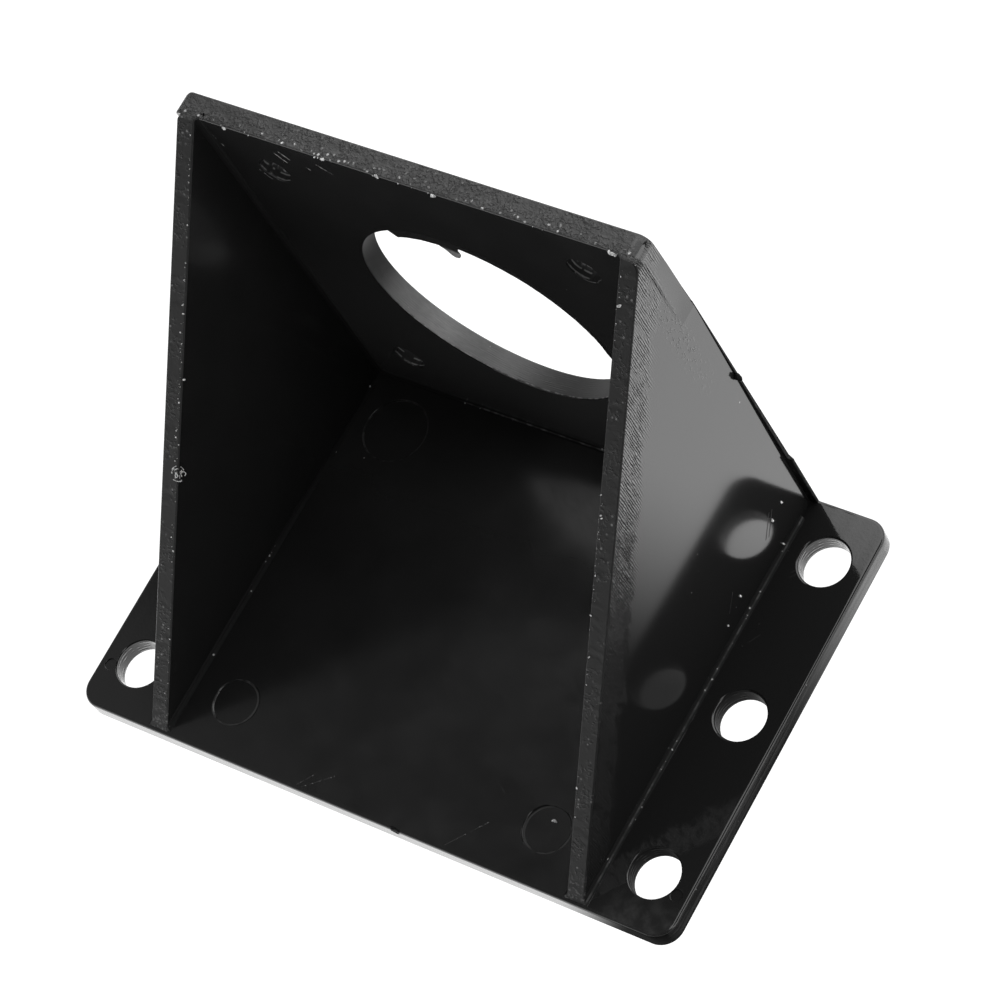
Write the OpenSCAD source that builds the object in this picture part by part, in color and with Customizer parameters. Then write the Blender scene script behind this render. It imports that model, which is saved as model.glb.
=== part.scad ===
// Motor mounting bracket, moulded in one piece: a flat base with two flanges for screws,
// two triangular gusset walls and an upright face plate that the motor is screwed to.
// X runs across the bracket, Y from the open front to the face plate, Z upwards.
// The origin is the centre of the base's underside.

/* [Motor] */
// Side of the square motor body
motor_w = 42.3; // [40:0.1:50]
// Gap on each side of the motor, where it meets the face plate
side_gap = 0.05; // [0:0.05:1]
// Gap between the motor and the floor of the pocket
floor_gap = 0.15; // [0:0.05:1]
// Distance from one motor screw to the next
screw_pitch = 31; // [24:0.5:34]
// Diameter of the motor screw holes
screw_hole_d = 3.2; // [2:0.1:5]
// Diameter of the hole for the round boss on the motor's face
bore_d = 24.6; // [18:0.1:34]

/* [Base] */
// Depth of the base from front to back
base_d = 40.9; // [34:0.1:60]
// Thickness of the base
base_t = 1.9; // [1.5:0.1:4]
// Width of each flange, from the front end of its wall to the base's side
flange_w = 8.36; // [7:0.01:14]
// Radius of the base's corners, seen from above
corner_r = 2; // [1:0.1:4]
// Radius of the base's upper rim
rim_r = 0.3; // [0.1:0.05:0.6]

/* [Flange holes] */
// Diameter of the screw holes in the flanges
flange_hole_d = 4.6; // [3:0.1:5.5]
// Distance from the centre of a hole to the side of the base
hole_from_side = 4; // [3.2:0.1:5.4]
// Distance from the centre of an outer hole to the front or back of the base
hole_from_end = 5.15; // [4:0.05:8]
// Number of holes in each flange
holes_per_flange = 3; // [2:1:4]

/* [Gusset walls] */
// Thickness of a wall at the front end of its foot
wall_t = 1.74; // [1.4:0.01:3]
// How much further out the inner face of a wall stands at the front than at the plate
pocket_flare = 0.2; // [0:0.05:0.6]
// How much further out the outer face of a wall stands at the plate than at the front
wall_flare = 0.43; // [0:0.01:0.8]
// How much the outer face of a wall leans in between its foot and its top
wall_lean = 0.57; // [0.1:0.01:0.8]
// Distance from the front of the base to the foot of the sloping edges
slope_setback = 0.35; // [0.35:0.05:3]
// Length of the level stretch at the top of a wall, in front of the face plate
slope_top = 0.25; // [0.1:0.05:3]
// Radius of the fillets in the inner corners
fillet_r = 0.4; // [0.2:0.05:0.8]

/* [Face plate] */
// Thickness of the face plate
plate_t = 2.15; // [1.6:0.05:4]
// Radius of the upper right corner
top_right_r = 1.1; // [0.6:0.1:3]
// Radius of the upper left corner
top_left_r = 0.6; // [0.5:0.1:3]
// Height of the plate's top, which the mould has set a little to the left
cap_h = 7.5; // [4:0.1:12]
// How far the right side of the top stands back from the wall
cap_inset = 0.35; // [0.1:0.05:0.5]
// How far the left side of the top stands proud of the wall
cap_proud = 0.5; // [0.1:0.05:0.8]
// Radius of the top's rear left edge, seen from above
cap_rear_r = 0.8; // [0.4:0.1:1.5]
// Thickness of the thin lip left by the mould along the plate's rear side edges
lip_t = 0.35; // [0.1:0.05:0.6]
// How far the lip sticks out beside the base
lip_foot_w = 0.7; // [0.4:0.05:1.5]
// Height of this wide foot of the lip
lip_foot_h = 7.1; // [3:0.1:12]
// How far the lip sticks out just above its foot
lip_w = 0.35; // [0.1:0.05:0.35]
// Height at which the lip runs out, above the base
lip_h = 34.6; // [15:0.1:38]

/* [Ejector pin marks] */
// Depth of the marks
mark_depth = 0.1; // [0.05:0.05:0.3]
// Diameter of the two front marks in the pocket
front_mark_d = 4.3; // [3:0.1:6]
// Diameter of the two rear marks in the pocket
rear_mark_d = 6.2; // [4:0.1:8]
// Distance from the centre of a pocket mark to the nearest wall
mark_from_wall = 4.6; // [4.2:0.1:8]
// Distance from the centre of a front mark to the front of the base
mark_from_front = 5.15; // [3.6:0.05:8]
// Distance from the centre of a rear mark to the face plate
mark_from_plate = 4.85; // [4.5:0.05:8]
// Diameter of the small mark beside the front hole of each flange
small_mark_d = 1.1; // [0.7:0.1:1.5]
// Distance from the centre of a small mark to the side of the base
small_mark_from_side = 1.25; // [1.2:0.05:2]
// Distance from the centre of a small mark to the front of the base
small_mark_from_front = 4.1; // [3:0.05:5]

/* [Hidden] */
$fn = 96;

// How far one solid reaches into the next, so that they join
joined = 0.2;
// Clearance of the walls' rounded front view around their leaning outer faces
outline_gap = 0.03;
// Length that reaches past the whole bracket
far = 4 * (motor_w + base_d + flange_w);

height = base_t + motor_w;
bore_z = base_t + floor_gap + motor_w / 2;

back_y = base_d / 2;
front_y = -base_d / 2;
plate_y = back_y - plate_t;
slope_foot_y = front_y + slope_setback;
slope_top_y = plate_y - slope_top;
wall_length = plate_y - slope_foot_y;
cap_z = height - cap_h;

// Half widths, all measured from the middle of the bracket
pocket_rear_x = motor_w / 2 + side_gap;
pocket_front_x = pocket_rear_x + pocket_flare;
wall_front_x = pocket_front_x + wall_t;
wall_rear_x = wall_front_x + wall_flare;
wall_top_x = wall_rear_x - wall_lean;
side_x = wall_front_x + flange_w;

inner_toe = atan(pocket_flare / wall_length);
outer_toe = atan(wall_flare / wall_length);
outer_lean = atan(wall_lean / motor_w);

first_hole_y = front_y + hole_from_end;
hole_step = (base_d - 2 * hole_from_end) / (holes_per_flange - 1);

module both_sides() {
    children();
    mirror([1, 0, 0]) children();
}

// Lays an outline drawn as (Y, Z) across the bracket, from x = from to x = to
module across(from, to) {
    translate([from, 0, 0])
        rotate([90, 0, 90])
            linear_extrude(height = to - from)
                children();
}

// Lays an outline drawn as (X, Z) along the bracket, from y = from to y = to
module along(from, to) {
    translate([0, to, 0])
        rotate([90, 0, 0])
            linear_extrude(height = to - from)
                children();
}

// Half of the base's section: a bar of half width w with a rounded upper rim
module rim_section(w) {
    square([w - rim_r, base_t]);
    square([w, base_t - rim_r]);
    translate([w - rim_r, base_t - rim_r]) circle(rim_r);
}

module bar_section(w) {
    rim_section(w);
    mirror([1, 0]) rim_section(w);
}

module base() {
    across(corner_r - side_x, side_x - corner_r) bar_section(base_d / 2);
    along(front_y + corner_r, back_y - corner_r) bar_section(side_x);
    for (x = [corner_r - side_x, side_x - corner_r])
        for (y = [front_y + corner_r, back_y - corner_r])
            translate([x, y, 0])
                rotate_extrude()
                    rim_section(corner_r);
}

// Side view of the walls and the plate below its top: a right triangle with its tip cut short
module gusset_outline() {
    polygon([
        [slope_foot_y, base_t - joined],
        [slope_foot_y, base_t],
        [slope_top_y, height],
        [plate_y + joined, height],
        [plate_y + joined, cap_z],
        [back_y, cap_z],
        [back_y, base_t - joined]
    ]);
}

// Right half of a front view with a leaning side and an upper corner of radius r
module half_outline(top_x, foot_x, r) {
    slant = (foot_x - top_x) / motor_w;
    tilt = atan(slant);
    arc_x = top_x + slant * r - r / cos(tilt);
    intersection() {
        union() {
            square([arc_x, height]);
            translate([arc_x, height - r])
                rotate(tilt) {
                    circle(r);
                    translate([-arc_x, -far]) square([arc_x + r, far]);
                }
        }
        translate([0, base_t - joined]) square(far);
    }
}

// Front view with sides that stand outside the wall faces by the two gaps
module front_outline(right_gap, left_gap) {
    half_outline(wall_top_x + right_gap, wall_rear_x + right_gap, top_right_r);
    mirror([1, 0]) half_outline(wall_top_x + left_gap, wall_rear_x + left_gap, top_left_r);
}

// Everything on the outer side of one wall's outer face
module outside_wall() {
    translate([wall_front_x, slope_foot_y, base_t])
        rotate([0, -outer_lean, -outer_toe])
            translate([0, -far / 2, -far / 2])
                cube(far);
}

// The space between the walls, down to the base
module pocket() {
    mouth_x = pocket_rear_x + pocket_flare * (wall_length + base_d) / wall_length;
    translate([0, 0, base_t])
        linear_extrude(height = far)
            polygon([
                [-pocket_rear_x, plate_y],
                [pocket_rear_x, plate_y],
                [mouth_x, plate_y - wall_length - base_d],
                [-mouth_x, plate_y - wall_length - base_d]
            ]);
}

// Walls and plate in one, as a solid wedge that the pocket is cut from
module wedge() {
    gap = outline_gap + wall_flare * plate_t / wall_length;
    difference() {
        intersection() {
            across(-side_x, side_x) gusset_outline();
            along(front_y, back_y) front_outline(gap, gap);
        }
        both_sides() outside_wall();
    }
}

// Top of the plate
module cap() {
    left_x = -wall_top_x - cap_proud;
    intersection() {
        along(plate_y, back_y)
            intersection() {
                front_outline(-cap_inset, cap_proud);
                translate([-far / 2, cap_z - joined]) square(far);
            }
        linear_extrude(height = far) {
            translate([left_x, plate_y - far]) square([far, far + plate_t - cap_rear_r]);
            translate([left_x + cap_rear_r, plate_y - far]) square([far, far + plate_t]);
            translate([left_x + cap_rear_r, back_y - cap_rear_r]) circle(cap_rear_r);
        }
    }
}

module walls_and_plate() {
    difference() {
        union() {
            wedge();
            cap();
        }
        pocket();
    }
}

// Thin lip along a rear side edge of the plate: a wide foot and a narrow strip that runs out upwards
module lip() {
    function side_x_at(h) = wall_rear_x - wall_lean * h / motor_w;
    shoulder_h = lip_foot_h + 2 * (lip_foot_w - lip_w);
    along(back_y - lip_t, back_y)
        polygon([
            [0, base_t - joined],
            [side_x_at(0) + lip_foot_w, base_t - joined],
            [side_x_at(lip_foot_h) + lip_foot_w, base_t + lip_foot_h],
            [side_x_at(shoulder_h) + lip_w, base_t + shoulder_h],
            [side_x_at(lip_h), base_t + lip_h],
            [0, base_t + lip_h]
        ]);
}

// Section of the fillet between a level floor and a face that leans back by the angle lean.
// The corner is at the origin, the floor runs along +X and the face goes up.
module fillet_section(lean) {
    arc_x = fillet_r * (1 - sin(lean)) / cos(lean);
    touch = [arc_x - fillet_r * cos(lean), fillet_r * (1 - sin(lean))];
    difference() {
        polygon([
            [-joined, -joined],
            [arc_x, -joined],
            [arc_x, fillet_r],
            touch,
            touch - [joined, 0]
        ]);
        translate([arc_x, fillet_r]) circle(fillet_r);
    }
}

// Fillets along the feet of the walls, cut off by the slope of the walls' edges
module foot_fillets() {
    intersection() {
        both_sides() {
            translate([pocket_rear_x, plate_y, base_t])
                rotate([0, 0, inner_toe])
                    along(-wall_length - joined, joined)
                        mirror([1, 0]) fillet_section(0);
            translate([wall_front_x, slope_foot_y, base_t])
                rotate([0, 0, -outer_toe])
                    along(-joined, wall_length + joined)
                        fillet_section(outer_lean);
        }
        across(-side_x, side_x) gusset_outline();
    }
}

module plate_fillets() {
    translate([0, plate_y, base_t])
        across(-pocket_rear_x - joined, pocket_rear_x + joined)
            mirror([1, 0]) fillet_section(0);
    intersection() {
        both_sides()
            translate([pocket_rear_x, plate_y, 0])
                linear_extrude(height = height)
                    rotate(180) fillet_section(inner_toe);
        across(-side_x, side_x) gusset_outline();
    }
}

module flange_holes() {
    for (x = [hole_from_side - side_x, side_x - hole_from_side])
        for (i = [0 : holes_per_flange - 1])
            translate([x, first_hole_y + i * hole_step, -joined])
                cylinder(d = flange_hole_d, h = base_t + 2 * joined);
}

// The large hole for the motor's boss and the four screw holes around it
module motor_holes() {
    translate([0, back_y + joined, bore_z])
        rotate([90, 0, 0]) {
            cylinder(d = bore_d, h = plate_t + 2 * joined);
            for (x = [-screw_pitch / 2, screw_pitch / 2])
                for (z = [-screw_pitch / 2, screw_pitch / 2])
                    translate([x, z, 0])
                        cylinder(d = screw_hole_d, h = plate_t + 2 * joined);
        }
}

module pin_mark(x, y, d) {
    translate([x, y, base_t - mark_depth])
        cylinder(d = d, h = mark_depth + joined);
}

module pin_marks() {
    mark_x = pocket_rear_x - mark_from_wall;
    for (x = [-mark_x, mark_x]) {
        pin_mark(x, front_y + mark_from_front, front_mark_d);
        pin_mark(x, plate_y - mark_from_plate, rear_mark_d);
    }
    for (x = [small_mark_from_side - side_x, side_x - small_mark_from_side])
        pin_mark(x, front_y + small_mark_from_front, small_mark_d);
}

module bracket() {
    color("#1b1b1c")
        difference() {
            union() {
                base();
                walls_and_plate();
                both_sides() lip();
                foot_fillets();
                plate_fillets();
            }
            flange_holes();
            motor_holes();
            pin_marks();
        }
}

bracket();
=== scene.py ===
# %% [markdown]
# # A moulded motor mounting bracket
#
# The real part is one piece of black, glossy plastic: a flat base with two flanges, two triangular
# gusset walls, and an upright face plate with a large round opening for the boss of a motor. The
# exact solid comes from the CAD side of the work. Here the piece gets what a mould, a cutter and
# some handling leave on it: rounded edges, a rough top, tool marks, scratches and white chips.

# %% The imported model
import math

import bmesh
import bpy
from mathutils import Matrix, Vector, noise


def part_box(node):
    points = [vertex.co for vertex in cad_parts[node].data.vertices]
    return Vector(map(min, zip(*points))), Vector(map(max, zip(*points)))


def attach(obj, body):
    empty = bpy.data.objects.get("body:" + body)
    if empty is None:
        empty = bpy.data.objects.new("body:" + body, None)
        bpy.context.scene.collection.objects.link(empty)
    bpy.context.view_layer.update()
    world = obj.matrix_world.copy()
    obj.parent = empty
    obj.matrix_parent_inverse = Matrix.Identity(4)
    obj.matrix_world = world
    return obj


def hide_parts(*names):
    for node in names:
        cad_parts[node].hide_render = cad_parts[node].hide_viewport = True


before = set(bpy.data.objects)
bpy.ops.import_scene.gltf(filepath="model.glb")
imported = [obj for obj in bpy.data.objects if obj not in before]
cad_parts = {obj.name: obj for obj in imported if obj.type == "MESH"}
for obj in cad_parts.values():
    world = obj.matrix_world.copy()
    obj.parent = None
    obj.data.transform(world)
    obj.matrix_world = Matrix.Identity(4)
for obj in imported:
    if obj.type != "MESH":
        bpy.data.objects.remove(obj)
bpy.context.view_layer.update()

MM = 0.001
scene = bpy.context.scene
low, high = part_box("bracket")
print("bracket from", [round(v / MM, 2) for v in low], "to", [round(v / MM, 2) for v in high], "mm")

# %% [markdown]
# ## The sizes that the finishes follow
#
# The looks are laid out in millimetres on the part, so the places of its main faces come first:
# the back, the top, the side, the base, the face plate, the round holes and the sloping edges.
# Both halves mirror each other, so one half's places serve for both.

# %% Places on the part, in millimetres
back_y = high[1] / MM
top_z = high[2] / MM
side_x = high[0] / MM
base_z = 1.9
plate_y = 18.3
cap_z = 36.7
bore_z = 23.2
bore_r = 12.3
screw_x = 15.5
screw_r = 1.6
screw_heights = [bore_z - screw_x, bore_z + screw_x]
hole_x = 27.5
hole_r = 2.3
hole_places = [-15.3, 0.0, 15.3]
pin_rings = [(16.75, -15.3, 2.15), (16.6, 13.45, 3.1)]
small_pin_mark = (30.25, -16.35, 0.55)
slope_start = Vector((0, -20.1, base_z))
slope_end = Vector((0, 18.05, top_z))
slope_run = (slope_end - slope_start).normalized()
slope_up = Vector((0, -slope_run.z, slope_run.y))
print("the edges slope at", round(math.degrees(math.asin(slope_run.z)), 1), "degrees")

# %% [markdown]
# ## The camera
#
# The photograph looks down on the bracket from its front right. The lens and the place of the
# camera were found by setting the edges of the CAD model over the edges of the picture.

# %% The photograph's viewpoint
eye = Vector((187.42, -95.76, 310.35)) * MM
looking = Vector((-0.5049, 0.2815, -0.8160)).normalized()
upwards = Vector((-0.2940, 0.8327, 0.4692))

across = looking.cross(upwards).normalized()
upwards = across.cross(looking).normalized()
camera_data = bpy.data.cameras.new("photo_camera")
camera_data.lens = 155.3
camera_data.sensor_width = 36
camera_data.clip_start = 0.01
camera = bpy.data.objects.new("photo_camera", camera_data)
turn = camera.matrix_world.copy()
for row in range(3):
    turn[row][0] = across[row]
    turn[row][1] = upwards[row]
    turn[row][2] = -looking[row]
    turn[row][3] = eye[row]
camera.matrix_world = turn
scene.collection.objects.link(camera)
scene.camera = camera
print("camera", round(eye.length / MM), "mm from the bracket")

# %% [markdown]
# ## Shader sums in plain Python
#
# Masks and patterns are sums over places on the piece. Wiring a node for each sum by hand hides
# the formula, so a small class wraps a socket and lets Python's own operators add the nodes.
# Every other node comes from one function: its kind, its settings, then the values of its sockets.

# %% One function for nodes
def add_node(tree, kind, settings=None, values=None):
    """Adds a node and returns its outputs by name."""
    node = tree.nodes.new(kind)
    for name, value in (settings or {}).items():
        setattr(node, name, value)
    named = {}
    for socket in node.inputs:
        if socket.enabled:
            named.setdefault(socket.name, socket)
    for name, value in (values or {}).items():
        socket = node.inputs[name] if isinstance(name, int) else named[name]
        if isinstance(value, Wire):
            tree.links.new(value.socket, socket)
        else:
            socket.default_value = value
    return {socket.name: Wire(tree, socket) for socket in node.outputs if socket.enabled}


# %% A socket that takes part in sums
class Wire:
    def __init__(self, tree, socket):
        self.tree = tree
        self.socket = socket

    def math(self, operation, *others):
        values = dict(enumerate((self, *others)))
        return add_node(self.tree, "ShaderNodeMath", {"operation": operation}, values)["Value"]

    def __add__(self, other):
        return self.math("ADD", other)

    def __sub__(self, other):
        return self.math("SUBTRACT", other)

    def __mul__(self, other):
        return self.math("MULTIPLY", other)

    def __rsub__(self, other):
        return self * -1.0 + other

    __radd__ = __add__
    __rmul__ = __mul__

    def least(self, other):
        return self.math("MINIMUM", other)

    def most(self, other):
        return self.math("MAXIMUM", other)

    def size(self):
        return self.math("ABSOLUTE")

    def root(self):
        return self.math("SQRT")

    def wave(self, length):
        """Runs from -1 to 1 and back over each length."""
        return (self * (2 * math.pi / length)).math("SINE")

    def rise(self, start, end):
        """0 before start, 1 after end, and smooth in between."""
        settings = {"interpolation_type": "SMOOTHSTEP", "clamp": True}
        values = {"Value": self, "From Min": start, "From Max": end, "To Min": 0.0, "To Max": 1.0}
        return add_node(self.tree, "ShaderNodeMapRange", settings, values)["Result"]

    def between(self, start, end, soft):
        """1 between start and end, and 0 outside."""
        return self.rise(start - soft, start + soft) * (1.0 - self.rise(end - soft, end + soft))


def place_in_mm(tree):
    """The place on the piece, as a vector in millimetres and as X, Y and Z."""
    metres = Wire(tree, tree.nodes.new("ShaderNodeTexCoord").outputs["Object"])
    where = add_node(tree, "ShaderNodeVectorMath", {"operation": "SCALE"},
                     {"Vector": metres, "Scale": 1 / MM})["Vector"]
    parts = add_node(tree, "ShaderNodeSeparateXYZ", {}, {"Vector": where})
    return where, parts["X"], parts["Y"], parts["Z"]


print("shader helpers ready")

# %% [markdown]
# ## The studio
#
# The ground is pure white. The bracket's right wall mirrors it as a smooth grey that darkens
# towards the front right, and its upward faces mirror a large soft light behind. So the table glows
# by a simple rule of place, with the bracket's soft shadow painted in: darker to the front right of
# the bracket and behind it, and a little lighter under one hole, while the camera sees it plain
# white.
# The sky is a dim room with one broad soft panel that has a dark gap, and two weak lights, low in
# front and far to the left.

# %% The white table
white = (1, 1, 1, 1)
table_reach = 1600 * MM
table_light = 2.15
table_as_seen = 1.2
shade_light = 0.07
behind_light = 0.08
hole_light = 0.1

table_mesh = bpy.data.meshes.new("studio_table")
corners = [(-table_reach, -table_reach, 0), (table_reach, -table_reach, 0),
           (table_reach, table_reach, 0), (-table_reach, table_reach, 0)]
table_mesh.from_pydata(corners, [], [(0, 1, 2, 3)])
table = bpy.data.objects.new("studio_table", table_mesh)
scene.collection.objects.link(table)


def soft_table():
    material = bpy.data.materials.new("white_table")
    material.use_nodes = True
    tree = material.node_tree
    where, x, y, z = place_in_mm(tree)
    # Painted shadow: the glow is darker to the front right of the bracket and behind it, and
    # painted a little lighter under one hole; the camera sees the table plain white.
    painted_shadow = x.rise(19, 27) * (1.0 - y.rise(0, 20)) * (1.0 - x.rise(60, 160))
    painted_light_under_hole = x.between(25.2, 30.8, 0.2) * y.between(-3, 5, 0.5)
    painted_shade_behind = x.between(-60, 19, 4) * y.between(19, 45, 6)
    glow = table_light - painted_shadow * (table_light - shade_light)
    glow = glow - painted_shade_behind * (table_light - behind_light) + painted_light_under_hole * hole_light
    seen = Wire(tree, tree.nodes.new("ShaderNodeLightPath").outputs["Is Camera Ray"])
    glow = glow * (1.0 - seen) + seen * table_as_seen
    light = add_node(tree, "ShaderNodeEmission", {}, {"Color": white, "Strength": glow})
    tree.links.new(light["Emission"].socket, tree.nodes["Material Output"].inputs["Surface"])
    tree.nodes.remove(tree.nodes["Principled BSDF"])
    return material


table_mesh.materials.append(soft_table())
# shade_light is the glow inside the painted shadow.
print("table light", table_light, "and in the bracket's shade", shade_light)

# %% The soft light above
panel_light = 2.7
room_light = 0.045
low_front_light = 0.55
far_left_light = 0.27
panel_edge = math.radians(32)
gap_way = Vector((0.505, 0.28, 0.816)).normalized()
gap_inside, gap_outside = math.cos(math.radians(13)), math.cos(math.radians(23))


def soft_room():
    world = bpy.data.worlds.new("soft_room")
    world.use_nodes = True
    tree = world.node_tree
    sky_way = Wire(tree, tree.nodes.new("ShaderNodeTexCoord").outputs["Generated"])
    direction = add_node(tree, "ShaderNodeSeparateXYZ", {}, {"Vector": sky_way})
    x, y, z = direction["X"], direction["Y"], direction["Z"]
    backwards = x * math.sin(panel_edge) + y * math.cos(panel_edge)
    gap = (x * gap_way.x + y * gap_way.y + z * gap_way.z).rise(gap_outside, gap_inside)
    panel = backwards.rise(-0.005, 0.045) * z.rise(0.1, 0.4) * y.rise(-0.25, 0.0) * (1.0 - gap)
    far_left = (1.0 - backwards.rise(-0.12, -0.09)) * (1.0 - x.rise(-0.6, -0.3)) * z.rise(0.0, 0.3)
    low_front = (y * -1.0).rise(0.1, 0.5) * (1.0 - z.rise(0.15, 0.6))
    light = room_light + panel * (panel_light - room_light)
    light = light + low_front * low_front_light + far_left * far_left_light
    sky = tree.nodes["Background"]
    sky.inputs["Color"].default_value = white
    tree.links.new(light.socket, sky.inputs["Strength"])
    return world


scene.world = soft_room()
scene.view_settings.view_transform = "Standard"
print("panel light", panel_light, "room light", room_light)

# %% [markdown]
# ## The plastic
#
# Black plastic shows almost no colour of its own. Its look is what it mirrors, so each face's
# polish does most of the work, and small bumps do the rest. One class holds what every finish
# shares: a near-black skin, noise and flecks measured in millimetres, and a way to add bumps.

# %% A finish laid out in millimetres
plastic_ior = 1.5


class Finish:
    """Tone is the base colour's grey and polish the roughness; both may be sums of masks."""

    def __init__(self, name, polish=0.5):
        self.material = bpy.data.materials.new(name)
        self.material.use_nodes = True
        self.tree = self.material.node_tree
        self.skin = self.tree.nodes["Principled BSDF"]
        self.skin.inputs["IOR"].default_value = plastic_ior
        self.where, self.x, self.y, self.z = place_in_mm(self.tree)
        self.tone = None
        self.polish = polish
        self.normal = None

    def scaled(self, grain, turn=(0, 0, 0)):
        """The place, counted in grains along each axis."""
        sizes = grain if isinstance(grain, tuple) else (grain, grain, grain)
        settings = {"vector_type": "POINT"}
        values = {"Vector": self.where, "Rotation": tuple(math.radians(angle) for angle in turn)}
        turned = add_node(self.tree, "ShaderNodeMapping", settings, values)["Vector"]
        counted = {"Vector": turned, "Scale": tuple(1 / size for size in sizes)}
        return add_node(self.tree, "ShaderNodeMapping", settings, counted)["Vector"]

    def cloud(self, grain, detail=2.0, turn=(0, 0, 0)):
        """Soft noise around 0.5."""
        values = {"Vector": self.scaled(grain, turn), "Scale": 1.0, "Detail": detail}
        return add_node(self.tree, "ShaderNodeTexNoise", {}, values)["Fac"]

    def flecks(self, spacing, share, radius):
        """Round flecks: a share of the cells of a grid holds one."""
        cells = add_node(self.tree, "ShaderNodeTexVoronoi", {"feature": "F1"},
                         {"Vector": self.scaled(spacing), "Scale": 1.0})
        colour = add_node(self.tree, "ShaderNodeSeparateColor", {}, {"Color": cells["Color"]})
        near = 1.0 - cells["Distance"].rise(0.5 * radius / spacing, radius / spacing)
        return near * colour["Red"].rise(1 - share, 1 - share + 0.02)

    def stroke(self, start, end, width):
        """A scratch between two places, as a mask."""
        start, end = Vector(start), Vector(end)
        run = end - start
        offset = self.vector("SUBTRACT", self.where, tuple(start))["Vector"]
        along = self.vector("DOT_PRODUCT", offset, tuple(run / run.length_squared))["Value"]
        along = along.least(1.0).most(0.0)
        nearest = add_node(self.tree, "ShaderNodeVectorMath", {"operation": "SCALE"},
                           {"Vector": tuple(run), "Scale": along})["Vector"]
        away = self.vector("DISTANCE", offset, nearest)["Value"]
        return 1.0 - away.rise(width * 0.3, width)

    def vector(self, operation, first, second):
        settings = {"operation": operation}
        return add_node(self.tree, "ShaderNodeVectorMath", settings, {0: first, 1: second})

    def dull(self, level):
        """Lowers what the whole finish mirrors."""
        self.skin.inputs["Specular IOR Level"].default_value = level

    def bump(self, height, depth):
        """Adds bumps that are depth millimetres high where height is 1."""
        values = {"Height": height, "Strength": 1.0, "Distance": depth * MM}
        if self.normal:
            values["Normal"] = self.normal
        self.normal = add_node(self.tree, "ShaderNodeBump", {}, values)["Normal"]

    def done(self):
        """Links tone, polish and bumps, and hands the material over."""
        inputs = {"Base Color": self.tone, "Roughness": self.polish, "Normal": self.normal}
        for name, value in inputs.items():
            if isinstance(value, Wire):
                self.tree.links.new(value.socket, self.skin.inputs[name])
            else:
                self.skin.inputs[name].default_value = value
        print("finish", self.material.name, "has", len(self.tree.nodes), "nodes")
        return self.material


# %% [markdown]
# ### Polished outside
#
# The outer faces are glossy, as the mould was. Along the sloping edge of each wall the mould kept
# the marks of its cutter: fine upright lines about a fifth of a millimetre apart, which fade away
# from the edge. A sine of the place along the wall makes the lines, and a soft mask ends them. The
# front corner of the right flange is a little scuffed.

# %% The polished finish
cutter_step = 0.21
cutter_depth = 0.028
pit_depth = 0.03
outside_tone = 0.0105
scratch_width = 0.08
wall_scratches = [((23.5, 16.3, 7.0), (23.5, 14.6, 5.2)), ((23.5, 15.9, 7.2), (23.5, 14.2, 5.4)),
                  ((23.4, 8.6, 5.9), (23.4, 7.2, 4.6)), ((23.4, 1.2, 15.5), (23.4, -0.6, 12.5))]


def polished_finish():
    finish = Finish("polished_black")
    side = finish.x.size().rise(22.4, 22.7) * finish.z.rise(base_z + 0.5, base_z + 1.0)
    from_edge = (finish.y - slope_start.y) * slope_run.z - (finish.z - slope_start.z) * slope_run.y
    wander = finish.cloud(2.5, 3.0)
    marked = side * (1.0 - from_edge.rise(1.8, 5.6 - wander * 3.2))
    uneven = finish.cloud((2.0, 0.5, 1.6), 3.0)
    lines = (finish.y + uneven * 0.35).wave(cutter_step) * uneven.rise(0.3, 0.6)
    finish.bump(lines * marked, cutter_depth)
    shoulder = side * finish.y.rise(18.15, 18.55) * finish.z.rise(33, 41)
    finish.bump(shoulder, 0.12)
    trail = side * finish.y.between(16.6, 18.6, 0.6) * finish.z.rise(22, 36)
    pits = finish.cloud((0.3, 0.18, 0.5), 3.0).rise(0.55, 0.68)
    finish.bump(pits * (marked * 0.8 + trail), pit_depth)
    finish.bump(finish.cloud(0.25, 3.0), 0.0012)
    finish.bump(finish.cloud((3.0, 14.0, 14.0), 1.0), 0.02)
    scratches = sum(finish.stroke(start, end, scratch_width) for start, end in wall_scratches)
    finish.bump(scratches, 0.01)
    specks = finish.flecks(1.3, 0.05, 0.1)
    finish.polish = (0.035 + finish.cloud(6.0, 3.0) * 0.05 + side * 0.05 + marked * 0.06
                     + scratches * 0.2)
    rough_corner = finish.x.rise(23, 27) * (1.0 - finish.y.rise(-20.0, -16.0))
    rough_corner = rough_corner * finish.z.rise(1.5, 1.8)
    scuffed = rough_corner * (0.3 + finish.cloud(1.1, 5.0).rise(0.4, 0.75))
    finish.tone = outside_tone + specks * 0.35 + marked * 0.002 + scuffed * 0.022
    return finish.done()


polished = polished_finish()

# %% [markdown]
# ### Inside of the pocket
#
# The pocket's floor, walls and plate are less polished: what they mirror is blurred. Handling left
# faint marks there, and the floor is a little mottled. The rear of the floor and the low part of
# the plate carry painted light, and thin painted highlights ring the pin marks.

# %% The pocket's finish
# Each scratch runs from a first place to a second one: X and Y on the floor, X and Z on the plate.
floor_scratches = [(-6.4, -20.0, -4.1, -18.1), (8.8, -19.9, 11.4, -16.7),
                   (-7.0, -20.0, -5.6, -18.2)]
plate_scratches = [(-14.0, 42.2, -13.1, 41.1), (-13.3, 42.7, -12.5, 41.8),
                   (-11.4, 41.9, -10.6, 41.0), (-17.5, 37.9, -16.7, 36.9),
                   (-16.5, 38.7, -15.6, 37.4), (-17.0, 38.5, -15.9, 37.1),
                   (-9.4, 42.5, -8.1, 41.6), (-20.6, 41.8, -20.1, 40.4),
                   (-16.7, 7.2, -15.7, 6.1), (-16.0, 8.2, -14.9, 6.5)]
pocket_tone = 0.0075


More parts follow.
